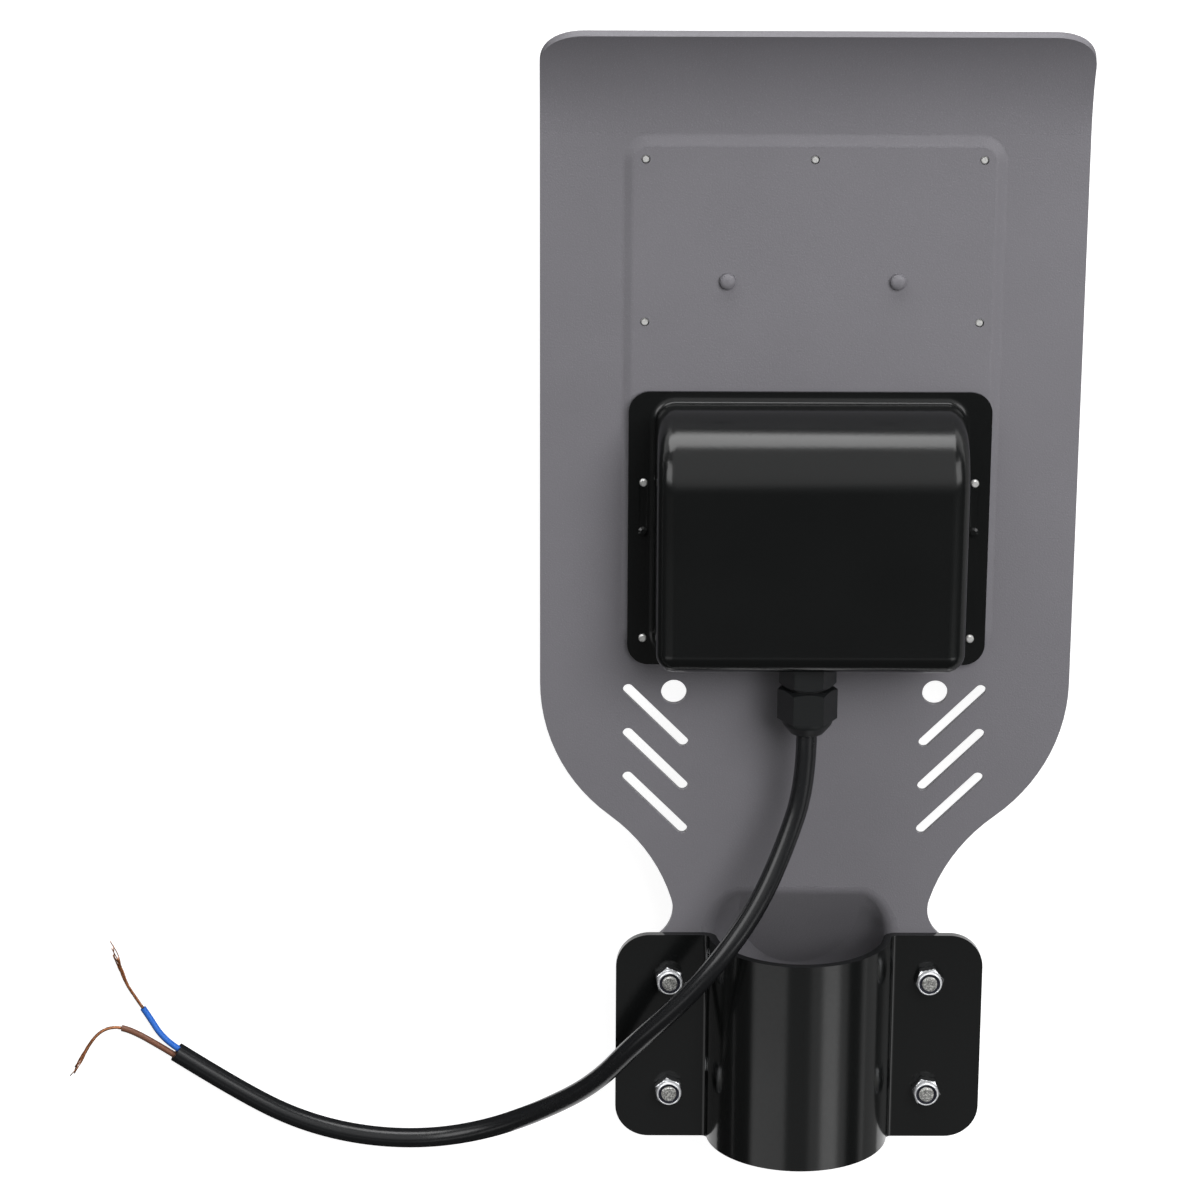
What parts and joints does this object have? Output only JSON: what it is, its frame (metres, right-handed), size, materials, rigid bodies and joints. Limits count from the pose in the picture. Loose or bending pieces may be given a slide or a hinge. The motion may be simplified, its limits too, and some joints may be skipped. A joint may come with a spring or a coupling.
{
  "type": "street light head",
  "caption": "Flat LED street light head of pressed sheet: pole socket clamped by a half pipe, box driver cover, lens panel below, curled tip, supply cable out of a gland.",
  "frame": {"origin": "on the axis of the pole socket, at its open mouth", "axes": "+Y from the pole along the head to the curled tip, +X to the right across it, +Z to the sky side that carries the driver; the lamp shines towards -Z"},
  "size_m": [0.3881, 0.4558, 0.0735],
  "materials": {
    "grey_coat": "fine matt powder coat",
    "black_coat": "satin black paint",
    "black_gloss": "gloss black paint",
    "zinc": "bright zinc plate",
    "black_nylon": "moulded",
    "black_rubber": "matt",
    "white_rubber": "matt",
    "driver_case": "satin",
    "black_sheath": "smooth",
    "blue_sheath": "smooth",
    "brown_sheath": "smooth",
    "red_sheath": "smooth",
    "copper": "bare strands",
    "board_white": "solder mask on an aluminium core",
    "phosphor": "silicone over each chip",
    "clear_lens": "clear moulded"
  },
  "bodies": {
    "root": {"body_plate": "grey_coat", "pole_clamp": "black_coat", "clamp_bolts": "zinc", "clamp_nuts": "zinc", "nut_inserts": "black_nylon", "driver_cover": "black_gloss", "cover_gasket": "black_rubber", "cover_rivets": "zinc", "gland_body": "black_nylon", "gland_locknut": "black_nylon", "gland_seal": "black_rubber", "gland_cap": "black_nylon", "led_driver": "driver_case", "supply_lead": "black_sheath", "led_lead_red": "red_sheath", "led_lead_black": "black_sheath", "power_cable": "black_sheath", "blue_core": "blue_sheath", "brown_core": "brown_sheath", "blue_strands": "copper", "brown_strands": "copper", "led_board": "board_white", "led_chips": "phosphor", "board_screws": "zinc", "lens_gasket": "white_rubber", "lens_panel": "clear_lens", "panel_screws": "zinc", "cover_screws": "zinc"}
  },
  "joints": []
}
